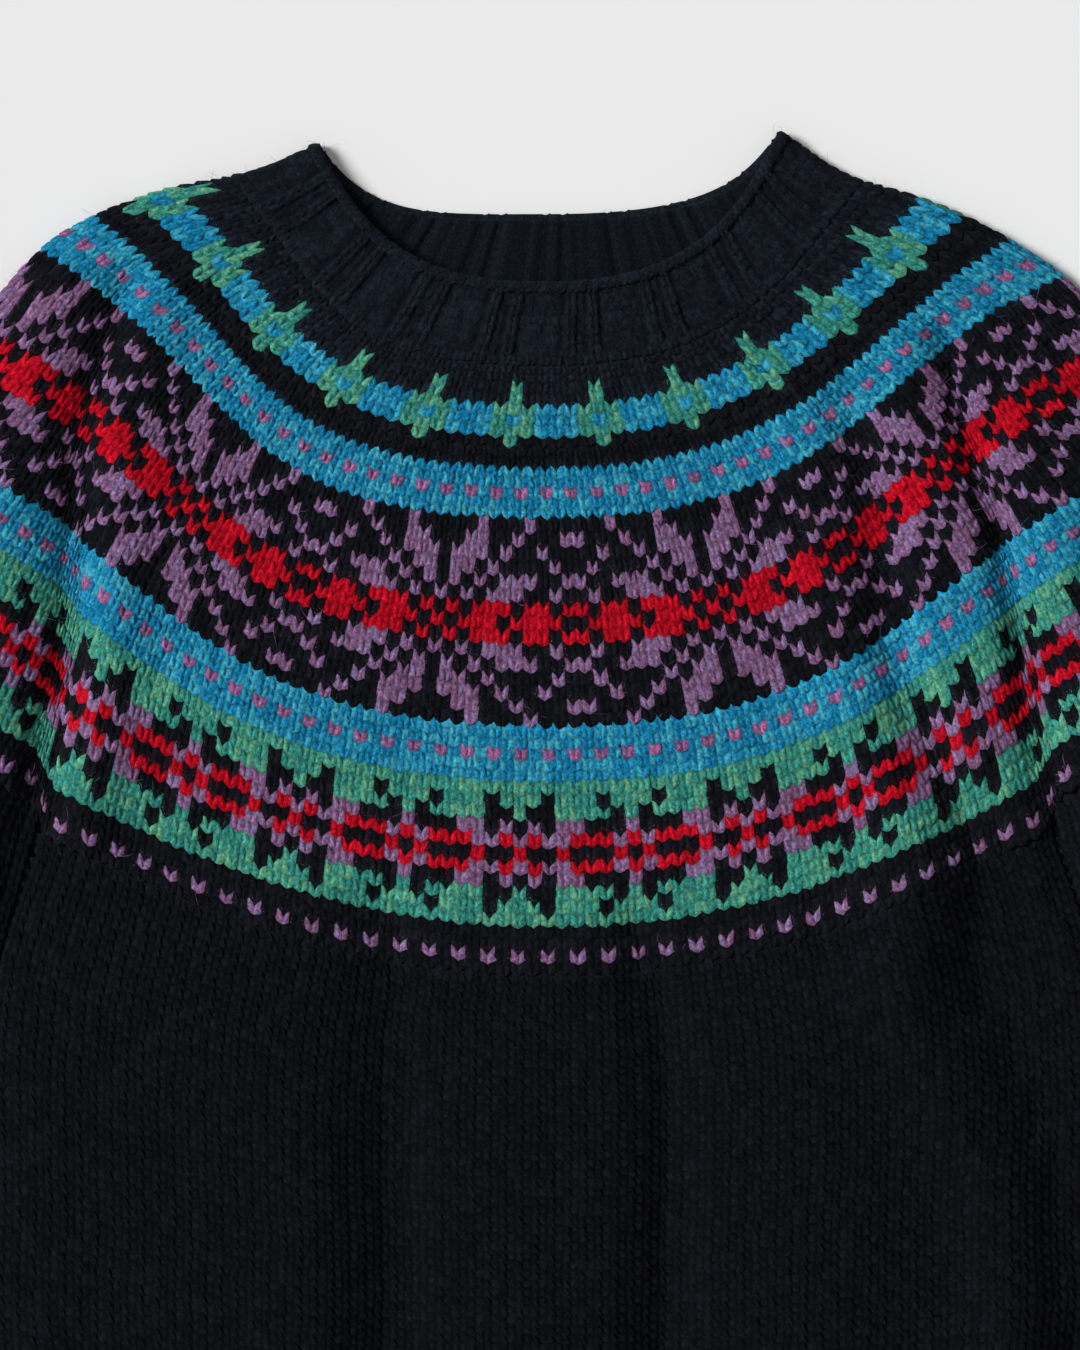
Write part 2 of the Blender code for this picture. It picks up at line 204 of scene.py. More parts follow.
# Charts, each row from its centre stitch outwards. An odd repeat is opened out whole, and an even one
# shares its outermost stitch with the next repeat. Stars and arches start at their middle row.
STAR_ROWS = (
    "RKRRRKRRRRK",
    "KRKRRRKRRKR",
    "LKLKLLLKKLK",
    "KLKLKLLLKKL",
    "KLLKLKKKKLK",
    "KLLLKLKKLKK",
    "KKLLKKLKKKL",
    "KKKLKKKLKKK",
)
ARCH_ROWS = (
    "RKKRKKKRK",
    "LRLLRRRLR",
    "KLKLLKKKL",
    "GKKGGGGKG",
    "GGKGGGKGG",
    "GGGGGGGGG",
)
CROSS_ROWS = ("GNNN", "GNNN", "GGBB", "BGBB", "GGBB", "GKKK")
PIP_ROWS = ("BB", "BB", "PB", "BB", "BB")
DOT_ROWS = ("LK",)

# Stitch shape, in millimetres and in shares of a stitch or a row
FINE_COLUMNS = (0.0, 0.17, 0.36, 0.5, 0.64, 0.83)
PLAIN_COLUMNS = (0.0, 0.27, 0.5, 0.73)
FINE_LINES = (0.0, 0.35, 0.8)
PLAIN_LINES = (0.0, 0.68)
PEAK = 0.6  # how far a stitch stands over the solid's surface
FINE_STITCH = (0.36, -0.7, 0.2)  # how a leg leans, its groove, and how high its top starts
PLAIN_STITCH = (0.12, -1.0, 0.5)
RIB_STITCH = (0.2, -0.35)  # the lean and the groove in a rib
PURL_SINK = 0.2
RIB_GROOVE = 0.78  # how deep the wool sinks beside a knitted column of a rib
CHEVRON = 2.0  # from the tips of a V to its point in the yoke
PLAIN_CHEVRON = 1.5
CROWDING = 0.03  # how far navy stitches reach over a coloured one, in shares of a stitch
NOTCH = 0.3  # how far a navy stitch reaches into the V of a coloured one under it, in shares of a row
SHOULDER = 0.28  # how far a coloured stitch's tips are rounded off under a navy one, in shares of a row
LIP_DEPTH = -0.9  # where a piece's foot dips into the top of the next
LIP_REACH = 0.1
JOINT_PAINTED_SHADE = 0.3  # how much of the painted shade in the hollows is left where two pieces meet, so that the real shadow at the joint shows less
FRILL = 0.3  # how far the neck's rolled edge waves in and out

# How much the stitches differ, in shares of a stitch or a row
WANDER = 0.05
PLUMP = 0.16
TILT = 0.06
DRIFT = 0.07
JITTER = 0.03
ROOT = -0.8  # the depth that a plump stitch swells from, in millimetres
KNIT_ROUGH = 0.07
PURL_ROUGH = 0.16
MOST_DROP = 0.75  # to the point of a V, in shares of a row
EDGE_DROP = 0.4  # share of that drop in the rings beyond the rows
PAINTED_SHADE_RUN = 1.6  # the depth under a stitch's peak where the painted shade of a hollow is darkest

# Rings of points beyond the first and after the last row of a piece, as (row, depth)
TOPS = {
    "tucked": ((-0.8, -1.7), (-0.45, -0.65)),
    "rolled": (
        (0.2, -2.9), (-0.15, -2.5), (-0.42, -1.5), (-0.42, -0.5),
        (-0.2, 0.3), (0.12, 0.65), (0.5, 0.6), (0.8, 0.1),
    ),
}
FEET = {
    "lip": ((-0.7, -1.45),),
    "edge": ((0.22, -0.9), (0.28, -1.6), (0.12, -2.6)),
}


def mirrored(rows, opened_whole):
    """Chart rows opened out on both sides of their centre stitch."""
    return [(row[1:] if opened_whole else row[1:-1])[::-1] + row for row in rows]


def both_ways(rows):
    """Chart rows given from the middle one outwards, opened out above and below it."""
    return list(rows[:0:-1]) + list(rows)


def charted(rows, stitches, centre):
    """Yarn numbers of rows x stitches: the repeat's centre stitch stands on the stitch `centre`."""
    repeat = len(rows[0])
    middle = (repeat - 1) // 2 if repeat > 2 else 0
    at = (np.arange(stitches) - centre + middle) % repeat
    return np.array([[YARNS[row[place]] for place in at] for row in rows])


def smooth_columns(keys, values, at):
    """Values between table rows on cubics, p = h00 v0 + h10 m0 + h01 v1 + h11 m1, straight beyond."""
    keys = np.asarray(keys, float)
    values = np.asarray(values, float)
    inside = np.clip(at, keys[0], keys[-1])
    slopes = np.gradient(values, keys, axis=0)
    upper = np.clip(np.searchsorted(keys, inside), 1, len(keys) - 1)
    step = keys[upper] - keys[upper - 1]
    part = (inside - keys[upper - 1]) / step
    left = 1 - part
    start = left**2 * ((1 + 2 * part) * values[upper - 1] + part * step * slopes[upper - 1])
    end = part**2 * ((1 + 2 * left) * values[upper] - left * step * slopes[upper])
    beyond = (at - inside) * (slopes[0] if at < keys[0] else slopes[-1])
    return start + end + beyond


def round_at(drop):
    """The sizes of the round that crosses the centre front at this drop, by column name."""
    table = np.array(list(ROUNDS.values()))
    row = smooth_columns(table[:, 0], table, drop)
    return dict(zip(ROUND_COLUMNS, row))


def half_curve(sizes, side, rise):
    """Half of a round in plan, from the centre to its outline, as a cubic Bezier curve."""
    sign = -1.0 if side == "left" else 1.0
    centre = np.array([0.0, sizes["drop"] - rise])
    end = np.array([sizes[side + "_x"], sizes[side + "_edge"]])
    lean = np.sqrt((centre[1] - end[1]) / (sizes["drop"] - end[1]))
    level = centre + [sign * sizes[side + "_flat"], 0.0]
    last = end + [-sign * sizes[side + "_in"], sizes[side + "_down"] * lean]
    out = (end - last) / np.hypot(*(end - last))
    end = end - EDGE_REACH * out
    t = np.linspace(0, 1, CURVE_STEPS)[:, None]
    left = 1 - t
    return left**3 * centre + 3 * left**2 * t * level + 3 * left * t**2 * last + t**3 * end


def at_shares(curve, shares):
    """The points that lie these shares of the way along a curve."""
    length = np.append(0, np.cumsum(np.hypot(*np.diff(curve, axis=0).T)))
    at = np.asarray(shares) * length[-1]
    return np.stack([np.interp(at, length, curve[:, 0]), np.interp(at, length, curve[:, 1])], axis=1)


def yoke_round(drop, layer):
    """One layer of a round of the yoke in plan, from its left fold to its right fold."""
    sizes = round_at(drop)
    rise = sizes["rise"] if layer == "back" else 0.0
    curve = np.concatenate([half_curve(sizes, "left", rise)[::-1], half_curve(sizes, "right", rise)[1:]])
    return at_shares(curve, np.linspace(0, 1, CURVE_STEPS))


def yoke_line(drop):
    """The front and back curves of a round of the yoke, which share their two ends."""
    front = yoke_round(drop, "front")
    back = yoke_round(drop, "back")
    ends = (front[[0, -1]] + back[[0, -1]]) / 2
    front[[0, -1]] = ends
    back[[0, -1]] = ends
    return front, back


def yoke_end_stretch(start_x, end_x):
    """The yoke's last round between two of its points, trimmed where it turns in at an underarm."""
    curve = yoke_round(YOKE_END, "front")
    cuts = [x for x in (start_x, end_x) if abs(x) < curve[:, 0].max()]
    cut_points = np.column_stack([cuts, np.interp(cuts, curve[:, 0], curve[:, 1])])
    between = (curve[:, 0] > start_x) & (curve[:, 0] < end_x)
    curve = np.concatenate([curve[between], cut_points])
    curve = curve[np.argsort(curve[:, 0])]
    for end, further, x in ((0, 2, start_x), (-1, -4, end_x)):
        if abs(x) <= UNDERARM_X:
            inward = curve[further] - curve[end]
            curve[end] += (EDGE_REACH + ARM_CLEARANCE) * inward / np.hypot(*inward)
    return curve[np.argsort(curve[:, 0])]


def near_line(points, line):
    """How far each point is from a bent line, and how far along the line that is, from 0 to 1."""
    line = np.asarray(line, float)
    runs = np.hypot(*np.diff(line, axis=0).T)
    starts = np.append(0, np.cumsum(runs))
    nearest = np.full(len(points), np.inf)
    along = np.zeros(len(points))
    for start, end, run, before in zip(line[:-1], line[1:], runs, starts):
        part = np.clip((points - start) @ (end - start) / run**2, 0, 1)
        away = np.hypot(*(points - start - part[:, None] * (end - start)).T)
        closer = away < nearest
        nearest[closer] = away[closer]
        along[closer] = (before + part[closer] * run) / starts[-1]
    return nearest, along


def stepped(plan):
    """A row in plan, let down on the body's side of each armpit crease and drawn up on the sleeve's.

    The step is s / 2 tanh(d / edge) exp(-|d| / run), where d is how far a point lies from the crease
    towards the body, and s grows down the crease and eases out below the underarm.
    """
    moved = plan.copy()
    for side, (step, first, points) in ARM_STEPS.items():
        line = np.array(points, float)
        crease = np.interp(plan[:, 1], line[:, 1], line[:, 0])
        inward = (plan[:, 0] - crease) * (1 if side == "left" else -1)
        grown = np.clip((plan[:, 1] - first) / (UNDERARM_DROP - first), 0, 1) ** 1.5
        eased = np.exp(-np.maximum(plan[:, 1] - UNDERARM_DROP, 0) / STEP_BELOW)
        shift = step / 2 * grown * eased * np.tanh(inward / STEP_EDGE)
        moved[:, 1] += shift * np.exp(-np.abs(inward) / STEP_RUN)
    return moved


def hidden_share(plan):
    """How much more cloth each step of a row holds than shows, 1 plus a bell over every tuck.

    A tuck hides the most cloth at the middle of its line, as sin(pi along).
    """
    between = (plan[1:] + plan[:-1]) / 2
    share = np.ones(len(between))
    for hidden, width, points in TUCKS.values():
        away, along = near_line(between, points)
        most = hidden * np.sin(np.pi * along) / (width * np.sqrt(np.pi))
        share += most * np.exp(-((away / width) ** 2))
    return share


def front_lift(plan):
    """How far the front layer lies above the back layer along one row, middle to middle.

    The puff, creases and swells add up to a lift that levels off, as highest tanh(lift / highest).
    """
    length = np.append(0, np.cumsum(np.hypot(*np.diff(plan, axis=0).T)))
    edge = np.minimum(length, length[-1] - length)
    free = 1 - np.exp(-edge / PUFF_RUN)
    lift = PUFF * free
    for height, width, start_share, points in CREASES.values():
        away, along = near_line(plan, points)
        share = start_share + (1 - start_share) * along
        lift += height * share * np.exp(-((away / width) ** 2)) * free
    neck = np.exp(-(((plan[:, 1] - NECK_LIFT_DROP) / NECK_LIFT_RUN) ** 2))
    neck *= np.exp(-((plan[:, 0] / NECK_LIFT_HALF) ** 4))
    lift += NECK_LIFT * neck * free
    return FLAT_LIFT + HIGHEST * np.tanh(np.maximum(lift, 0) / HIGHEST)


def body_line(share):
    """A round of the body, from the yoke's end at 0 to the hem band at 1 and the hem's edge beyond."""
    top = at_shares(yoke_end_stretch(-UNDERARM_X, UNDERARM_X), np.linspace(0, 1, PLAIN_STEPS + 1))
    side = HEM_SEAM_SIDE * share + UNDERARM_DROP * (1 - share)
    half_width = smooth_columns([row[0] for row in SIDES], [row[1] for row in SIDES], side)
    evened = min(share * COLUMNS_EVENED, 1.0)
    top_across = top[:, 0] / np.abs(top[[0, -1], 0]).mean()
    across = (1 - evened) * top_across + evened * np.linspace(-1, 1, PLAIN_STEPS + 1)
    kept = max(1 - share, 0.0)
    hem = HEM_SEAM_SIDE + HEM_DIP * np.cos(across * np.pi / 2)
    drop = kept * (top[:, 1] + SEAM_GAP / 2) + (1 - kept) * hem
    drop = drop + max(share - 1, 0.0) * (HEM_SEAM_SIDE - UNDERARM_DROP)
    middle = kept * (top[0, 0] + top[-1, 0]) / 2
    curve = np.stack([middle + across * (half_width - ARM_CLEARANCE - EDGE_REACH), drop], axis=1)
    return curve, curve


def sleeve_line(side, run):
    """A round of a sleeve in plan, this far down its inner edge, from its left to its right fold."""
    sign = -1.0 if side == "left" else 1.0
    past_fold = sign * (1.0 - ROUNDS["yoke end"][3])
    top = yoke_end_stretch(*sorted((sign * UNDERARM_X, past_fold)))[:: int(sign)]
    top = at_shares(top, np.linspace(0, 1, PLAIN_STEPS + 1)) + [0.0, SEAM_GAP / 2]
    reach = top - top[0]
    top_width = np.hypot(*reach[-1])
    across_top = reach[-1] / top_width
    bow = sign * reach @ np.array([-across_top[1], across_top[0]])
    tilt = np.radians(SLEEVE_ANGLE)
    top_tilt = np.arctan2(-across_top[1], abs(across_top[0]))
    turned = 1 - np.exp(-3 * (run / TURN_RUN) ** 2)
    angle = (1 - turned) * top_tilt + turned * tilt
    out = np.array([sign * np.cos(angle), -np.sin(angle)])
    out_down = np.array([sign * np.sin(angle), np.cos(angle)])
    down = np.array([sign * np.sin(tilt), np.cos(tilt)])
    runs = [0.0] + [row[0] for row in SLEEVE_WIDTHS]
    widths = [top_width] + [row[1] - 2 * EDGE_REACH for row in SLEEVE_WIDTHS]
    width = smooth_columns(runs, widths, run)
    fade = np.exp(-run / TURN_RUN)
    along = fade * (reach @ across_top) / top_width + (1 - fade) * np.linspace(0, 1, PLAIN_STEPS + 1)
    curve = top[0] + run * down + np.outer(along * width, out) + np.outer(bow * fade, out_down)
    curve = curve if side == "right" else curve[::-1]
    return curve, curve


def wrap_round(line, places, stitches):
    """Middle of the wall round a pressed-flat row, at places counted in stitches from the left fold.

    The way round is a quarter circle up from the left fold, the front curve at its lift, a quarter
    circle down, and the same beneath along the back curve. Each layer holds half of the stitches,
    spaced evenly along the outer face.
    """
    front, back = (stepped(curve) for curve in line)
    quarter = np.linspace(0, np.pi / 2, 6)

    def fold(end, out, angles):
        """Points on a quarter circle about the end of a layer."""
        flat = end + FOLD_RADIUS * np.outer(np.cos(angles), out)
        return np.column_stack([flat, WALL / 2 + FOLD_RADIUS * (1 + np.sin(angles))])

    def run(parts):
        """Points over one layer from fold to fold, and how many stitches lie before each."""
        steps = [np.hypot(*np.diff(part[:, :2], axis=0).T) for part in parts]
        steps[1] *= hidden_share(parts[1][:, :2]) if parts[1][0, 2] > WALL else 1
        for step in (steps[0], steps[2]):
            step[:] = EDGE_REACH * np.pi / 2 / len(step)
        points = np.concatenate([parts[0], parts[1][1:], parts[2][1:]])
        length = np.append(0, np.cumsum(np.concatenate(steps)))
        return points, length / length[-1] * stitches / 2

    outs = []
    for end, beside in ((0, 3), (-1, -4)):
        out = 2 * front[end] - front[beside] - back[beside]
        outs.append(out / np.hypot(*out))
    top = np.column_stack([front, WALL / 2 + front_lift(front)])
    bottom = np.column_stack([back[::-1], np.full(len(back), WALL / 2)])
    over, over_at = run(
        [fold(front[0], outs[0], quarter), top, fold(front[-1], outs[1], quarter[::-1])])
    under, under_at = run(
        [fold(back[-1], outs[1], -quarter), bottom, fold(back[0], outs[0], -quarter[::-1])])
    points = np.concatenate([over, under[1:]])
    at = np.concatenate([over_at, under_at[1:] + stitches / 2])
    around = places % stitches
    return np.stack([np.interp(around, at, points[:, axis]) for axis in range(3)], axis=1)


def wander(rng, rows, places, stitches, size):
    """A slow unevenness, as a sum of waves that close round the row."""
    total = np.zeros((len(rows), len(places)))
    for waves in (2, 3, 5, 8, 13, 21, 34):
        phase = rng.uniform(0, 2 * np.pi, 2)
        lean = rng.uniform(-0.5, 0.5)
        angle = 2 * np.pi * waves * places[None, :] / stitches + lean * rows[:, None] + phase[0]
        total += np.sin(angle) * np.sin(0.37 * waves**0.5 * rows[:, None] + phase[1])
    return size * total / np.sqrt(7)


def stitch_relief(leg, line, to_knit, slant, groove, start):
    """Height of the yarn in a stitch over the solid's face.

    leg runs from 0 at the point of the V to 1 between two stitches, and line from 0 at the top of the
    row to 1 at its foot. A knit leg is a round bar, sqrt(1 - ((leg - middle) / half)^2), whose middle
    leans in by the slant from the top to the foot. It stands over the groove between the legs, and
    climbs on a ramp from the start to where the V covers the next one. A purl stitch has one low ridge
    across it, and sinks into a groove beside a knitted column, which is to_knit stitches away.
    """
    ramp = np.interp(line, (0.0, 0.35, 0.7, 0.85, 1.0), (start, 0.8, 1.0, 0.95, start + 0.1))
    middle = 0.5 + slant / 2 - slant * line
    bar = np.sqrt(np.maximum(1 - ((leg - middle) / 0.46) ** 2, 0))
    knit = groove + (PEAK - groove) * bar * ramp
    rise = np.clip((to_knit - 0.5) / 0.9, 0, 1)
    purl = -RIB_GROOVE + (RIB_GROOVE - PURL_SINK) * rise**2 * (3 - 2 * rise)
    purl = purl + 0.35 * np.sin(np.pi * line) * (1 - 0.4 * leg**2) * rise
    return np.where(to_knit > 0.5, purl, knit)


def column_places(stitches, fine, turn):
    """Stitch number, share of the stitch and place round the row of each column of points."""
    front = fine * -(-stitches // 2)
    cells = [FINE_COLUMNS] * front + [PLAIN_COLUMNS] * (stitches - front)
    numbers = np.repeat(np.arange(stitches), [len(cell) for cell in cells])
    shares = np.concatenate(cells)
    return numbers, shares, numbers + shares + turn


class Surface:
    """A pressed-flat tube by rows and places, from the middles of its wall on whole rows.

    point(row, depth) = P + side T + (WALL / 2 + depth) N, where P is read off between two row lines,
    T is the way round for one stitch, and N is the unit normal, T turned against the way down.
    """

    def __init__(self, line_at, rows, places, stitches):
        self.first = -2
        numbers = range(self.first, rows - self.first + 1)
        grid = np.array([wrap_round(line_at(row), places, stitches) for row in numbers])
        self.points = np.stack([
            CENTRE_X + grid[:, :, 0] * MM,
            TOP_Y - grid[:, :, 1] * MM,
            grid[:, :, 2] * MM,
        ], axis=2)
        gap = np.diff(np.concatenate([places[-1:] - stitches, places, places[:1] + stitches]))
        ahead = np.roll(self.points, -1, axis=1)
        behind = np.roll(self.points, 1, axis=1)
        self.across = (ahead - behind) / (gap[1:] + gap[:-1])[None, :, None]
        down = np.gradient(self.points, axis=0)
        normal = np.cross(down, self.across)
        self.normal = normal / np.linalg.norm(normal, axis=2, keepdims=True)
        self.down = np.linalg.norm(down, axis=2)

    def read(self, values, rows):
        """Values at these rows (lines x columns), straight between whole rows."""
        at = np.clip(rows - self.first, 0, len(values) - 1.001)
        low = at.astype(int)
        part = at - low
        column = np.broadcast_to(np.arange(rows.shape[1]), rows.shape)
        if values.ndim == 3:
            part = part[:, :, None]
        return values[low, column] * (1 - part) + values[low + 1, column] * part

    def place(self, rows, depth, side):
        """Points at these rows, depths and sides. Stitches on the underside don't stand over the wall."""
        normal = self.read(self.normal, rows)
        under = np.clip(-normal[:, :, 2:], 0, 1)
        over_wall = (WALL / 2 + depth)[:, :, None] - PEAK * under * (depth > -WALL / 2)[:, :, None]
        middle = self.read(self.points, rows)
        return middle + side[:, :, None] * self.read(self.across, rows) + over_wall * MM * normal

    def cut(self):
        """The tube's cut size: round its rows and down its columns, without the relief."""
        whole = slice(-self.first, self.first)
        flat = self.points[whole] + self.normal[whole] * (WALL / 2 * MM)
        closed = np.concatenate([flat, flat[:, :1]], axis=1)
        width = np.linalg.norm(np.diff(closed, axis=1), axis=2).sum(axis=1).mean()
        length = np.linalg.norm(np.diff(flat, axis=0), axis=2).sum(axis=0).mean()
        return float(width), float(length)


def inner_face(inside, rows, foot_row, top_row, leg, is_purl):
    """Rows and depths of the rings up the inner face: level, or with the ridges of a rib's back."""
    if inside == "plain":
        at = np.linspace(foot_row, top_row, max(3, rows // 3))[:, None]
        return at + 0 * leg, -WALL + 0 * at + 0 * leg
    at = np.arange(rows, 0, -0.5)[:, None]
    ridge = 0.5 * (at % 1 > 0.25)
    return at - 0.1 + 0 * leg, -WALL - np.where(is_purl, 0.9, ridge * (1 - 0.5 * leg) - 0.3)


def knit_piece(name, line_at, yarns, *, turn=0.0, fine=False, purls=None, ribbed=99, top="tucked",
               foot="lip", seed=1, inside="plain"):
    """Make one closed tube of stitches. Gives back the piece and its cut size.

    Rings of points run from the piece's top edge down its outer face, round its foot and back up its
    inner face, and the last ring joins the first. yarns is rows x stitches of yarn numbers, and purls
    says for each stitch of the first ribbed rows whether it is purled.
    """
    rows, stitches = yarns.shape
    rng = np.random.default_rng(seed)
    numbers, shares, places = column_places(stitches, fine, turn)
    surface = Surface(line_at, rows, places, stitches)
    leg = np.abs(shares - 0.5) * 2
    lines = FINE_LINES if fine else PLAIN_LINES
    row_of = np.append(np.repeat(np.arange(rows), len(lines)), rows - 1)
    line_of = np.append(np.tile(lines, rows), 1.0)

    def spread(table):
        """What a table of rows x stitches says for each line and column of points."""
        return table[row_of][:, numbers]

    purls = np.zeros(stitches, bool) if purls is None else purls
    is_purl = purls[numbers]
    apart = np.abs((numbers + shares)[:, None] - np.flatnonzero(~purls) - 0.5)
    to_knit = np.where(is_purl, np.maximum(np.minimum(apart, stitches - apart).min(axis=1), 0.51), 0.0)
    to_knit = np.where(row_of[:, None] < ribbed, to_knit, 0.0)

    # Each line of points dips towards the point of its V, and no two stitches lie quite alike
    row_height = np.maximum(surface.down.mean() / MM, 1.0)
    point_drop = min((CHEVRON if fine else PLAIN_CHEVRON) / row_height, MOST_DROP)
    shear = point_drop * (0.5 - leg) * ~is_purl
    slow = wander(rng, row_of.astype(float), places, stitches, WANDER)
    row_at = row_of[:, None] + line_of[:, None] + shear + slow
    plump = spread(rng.uniform(1 - PLUMP, 1 + PLUMP, yarns.shape))
    tilt = spread(rng.uniform(-TILT, TILT, yarns.shape))
    row_at = row_at + spread(rng.uniform(-DRIFT, DRIFT, yarns.shape))
    row_at = row_at + rng.normal(0, JITTER, row_at.shape)
    slant, groove, start = FINE_STITCH if fine else PLAIN_STITCH
    if is_purl.any():
        slant, groove = RIB_STITCH
    relief = stitch_relief(leg, line_of[:, None], to_knit, slant, groove, start)
    rough = rng.normal(0, 1, relief.shape) * np.where(is_purl, PURL_ROUGH, KNIT_ROUGH)
    relief = np.minimum(ROOT + (relief - ROOT) * plump + rough, PEAK + 0.15)
    lean = np.interp(line_of, (0, 0.4, 1), (-0.10, 0.0, 0.09))[:, None]
    lean = lean * np.sin(np.pi * leg) * np.where(shares < 0.5, 1, -1)
    side = lean + tilt + wander(rng, row_of * 0.6, places, stitches, WANDER)
    side = side + rng.normal(0, 0.02, side.shape)

    # Navy stitches crowd the coloured ones beside, above and below them
    coloured = ((yarns > 0) & (yarns < YARNS["N"])).astype(float)
    side = side + CROWDING * spread(coloured - np.roll(coloured, 1, axis=1)) * (shares == 0)
    change = spread(np.diff(coloured, axis=0, prepend=coloured[:1])) * (line_of == 0)[:, None]
    row_at += 1.2 * CROWDING * change
    row_at += NOTCH * np.maximum(change, 0) * np.maximum(1 - 3 * leg, 0)
    row_at += SHOULDER * np.maximum(change, 0) * (shares == 0)
    if foot == "lip":
        relief[-1] = LIP_DEPTH
        row_at[-1] += LIP_REACH

    # The rings in order: the top edge, the outer face, the foot and the inner face
    over, under = np.array(TOPS[top]), np.array(FEET[foot])
    first, outer = len(over), len(row_of)
    last = first + outer - 1
    inner = last + 1 + len(under)
    frill = np.sin(3 * np.pi * places + 1.9 * np.arange(first)[:, None]) * (top == "rolled")
    inner_rows, inner_depths = inner_face(inside, rows, rows + under[-1, 0], over[0, 0], leg, is_purl)
    eased = shear * EDGE_DROP
    ring_rows = np.concatenate([over[:, :1] + eased, row_at, rows + under[:, :1] + eased, inner_rows])
    depths = np.concatenate([over[:, 1:] + FRILL * frill, relief, under[:, 1:] + 0 * leg, inner_depths])
    from_line = np.clip(np.arange(-first, inner - first), 0, outer - 1)
    sides = np.concatenate([side[from_line], 0 * inner_rows])
    points = surface.place(ring_rows, depths, sides)
    points[:, :, 2] = np.maximum(points[:, :, 2], 0.0)

    # Painted shade: the wool's colour darkens with how deep a point lies under a stitch's peak, standing
    # in for the shade between the legs
    hollow = np.clip((PEAK - depths) / PAINTED_SHADE_RUN, 0, 1)
    # Painted shade over the whole inner face, deeper inside a rib
    hollow[inner:] = 0.35 if inside == "plain" else 0.7
    if top == "rolled":
        # Painted shade on the rolled edge, lighter where it waves out and darker where it waves in
        hollow[:first] = 0.3 - 0.5 * frill
    else:
        # Less painted shade along the top, where this piece meets the one above, to lighten the real
        # shadow there
        hollow[: first + 1] *= JOINT_PAINTED_SHADE
    if foot == "lip":
        # Less painted shade on the lip's last ring, to lighten the real shadow where it meets the next
        # piece
        hollow[last] *= JOINT_PAINTED_SHADE
    else:
        # Even painted shade round the fold of a ribbed edge
        hollow[last + 1 : inner] = 0.3
    near = np.concatenate([np.zeros(first, int), row_of, np.full(len(depths) - last - 1, rows)])
    ring_yarns = np.concatenate([yarns, yarns[-1:]])[near][:, numbers]
    ring_yarns[inner:] = YARNS["K"]
    beside = ring_yarns.copy()
    beside[first:last] = yarns_beside(yarns, row_of[:-1], line_of[:-1], numbers, shares)
    tones = rng.uniform(0, 1, (rows + 1, stitches, 2))[near][:, numbers, (shares >= 0.5).astype(int)]
    faces = {"yarn": ring_yarns, "beside": beside, "tone": tones}
    piece = tube_mesh(name, points, faces, hollow, (ring_rows, places, stitches, first, outer))
    return piece, surface.cut()


def yarns_beside(yarns, row_of, line_of, numbers, shares):
    """The yarn that meets each face: the next stitch's along its sides, or the next row's at its ends."""
    own = yarns[row_of][:, numbers]
    left = np.roll(yarns, 1, axis=1)[row_of][:, numbers]
    right = np.roll(yarns, -1, axis=1)[row_of][:, numbers]
    below = yarns[np.minimum(row_of + 1, len(yarns) - 1)][:, numbers]
    ends = np.where((line_of > 0.7)[:, None], below, own)
    sides = np.where(shares[None, :] < 0.1, left, np.where(shares[None, :] > 0.8, right, own))
    return np.where(sides != own, sides, ends)


def add_values(mesh, title, domain, values):
    """Store one number for each face or point of a mesh."""
    made = mesh.attributes.new(title, "FLOAT", domain)
    made.data.foreach_set("value", np.ravel(values).astype(np.float32))


def add_map(mesh, title, u, v):
    """Store a UV map, from the two numbers of each corner."""
    layer = mesh.uv_layers.new(name=title)
    layer.data.foreach_set("uv", np.stack([u, v], axis=-1).ravel().astype(np.float32))


def shown(name, data):
    """Put an object into the scene."""
    made = bpy.data.objects.new(name, data)
    bpy.context.scene.collection.objects.link(made)
    return made


def tube_mesh(name, points, face_values, hollow, layout):
    """Put a grid of rings into a mesh that closes both ways, with its attributes and UV maps."""
    ring_rows, places, stitches, first, outer = layout
    rings, around = points.shape[:2]
    ring, column = np.indices((rings, around)).reshape(2, -1, 1)
    lower = ring + [0, 1, 1, 0]
    right = column + [0, 0, 1, 1]
    corners = lower % rings * around + right % around
    mesh = bpy.data.meshes.new(name)
    mesh.vertices.add(rings * around)
    mesh.vertices.foreach_set("co", points.reshape(-1))
    mesh.loops.add(corners.size)
    mesh.loops.foreach_set("vertex_index", corners.ravel())
    mesh.polygons.add(len(corners))
    mesh.polygons.foreach_set("loop_start", np.arange(len(corners)) * 4)
    mesh.polygons.foreach_set("use_smooth", np.ones(len(corners), bool))
    for title, values in face_values.items():
        add_values(mesh, title, "FACE", values)
    add_values(mesh, "hollow", "POINT", hollow)

    # Places run on past the last column, so that no face spans the map
    u = np.append(places, places[0] + stitches)[right]
    add_map(mesh, "Stitches", u, ring_rows[lower % rings, right % around])

    # For baking, the front and back of the outer face lie one above the other, and the rest above them
    share = (u - places[0]) / stitches
    is_back = places[column] - places[0] >= stitches / 2
    on_outer = (ring >= first) & (ring < first + outer - 1)
    down = np.where(is_back, 0.47, 0.01) + 0.44 * ((lower - first) / (outer - 1))
    rest = 0.925 + 0.065 * ((lower - first - outer + 1) % rings) / (rings - outer + 1)
    bake_u = 0.01 + 0.98 * np.where(on_outer, 2 * share - is_back, share)
    add_map(mesh, "OFBake", np.clip(bake_u, 0, 1), np.clip(np.where(on_outer, down, rest), 0, 1))
    mesh.update(calc_edges=True)
    mesh.validate()
    return shown(name, mesh)


def sums(operation, swapped=False):
    """How two values meet in a Math node, the second one first where they are swapped."""

    def join(value, other):
        first, second = (other, value) if swapped else (value, other)
        inputs = {"Value": first, "Value_001": second}
        return value.graph.node("ShaderNodeMath", {"operation": operation}, inputs)["Value"]

    return join


